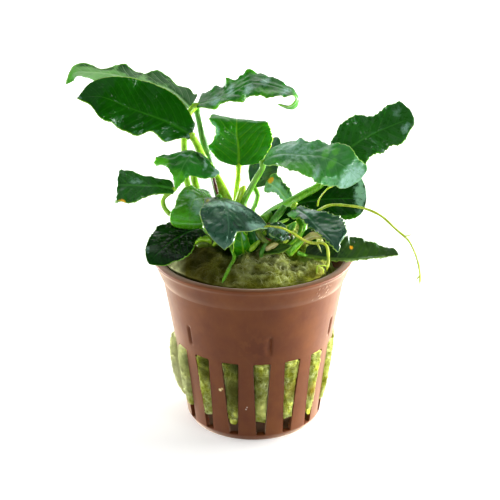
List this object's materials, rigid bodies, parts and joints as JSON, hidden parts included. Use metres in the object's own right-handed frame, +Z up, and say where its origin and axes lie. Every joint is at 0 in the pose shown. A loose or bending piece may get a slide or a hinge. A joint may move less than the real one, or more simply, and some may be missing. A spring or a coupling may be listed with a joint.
{
  "type": "potted anubias",
  "caption": "Small water plant with broad leaves on stalks, growing from a rhizome on rock wool in a slotted net pot.",
  "frame": {"origin": "centre of the pot's flat base, on the surface that it stands on", "axes": "+Z up along the pot's axis, -Y towards the viewer of the picture, +X to the viewer's right"},
  "size_m": [0.0942, 0.055, 0.0995],
  "materials": {
    "pot": "satin moulded plastic",
    "wool": "wet mineral fibre",
    "leaf": "wet waxy leaf",
    "stem": "smooth fleshy stalk",
    "root": "smooth root",
    "rhizome": "smooth fleshy rhizome"
  },
  "bodies": {
    "root": {"net_pot": "pot", "rock_wool": "wool", "rhizome": "rhizome", "leaf_01": "leaf", "leaf_02": "leaf", "leaf_03": "leaf", "leaf_04": "leaf", "leaf_05": "leaf", "leaf_06": "leaf", "leaf_07": "leaf", "leaf_08": "leaf", "leaf_09": "leaf", "leaf_10": "leaf", "leaf_11": "leaf", "leaf_12": "leaf", "leaf_13": "leaf", "leaf_14": "leaf", "leaf_15": "leaf", "leaf_16": "leaf", "leaf_17": "leaf", "leaf_18": "leaf", "leaf_19": "leaf", "leaf_20": "leaf", "sheath_01": "stem", "bud_01": "stem", "stub_01": "stem", "stem_01": "stem", "stem_02": "stem", "stem_03": "stem", "stem_04": "stem", "stem_05": "stem", "stem_06": "stem", "stem_07": "stem", "stem_08": "stem", "stem_09": "stem", "stem_10": "stem", "stem_11": "stem", "stem_12": "stem", "stem_13": "stem", "stem_14": "stem", "stem_15": "stem", "stem_16": "stem", "root_01": "root", "root_02": "root", "root_03": "root", "root_04": "root"}
  },
  "joints": []
}
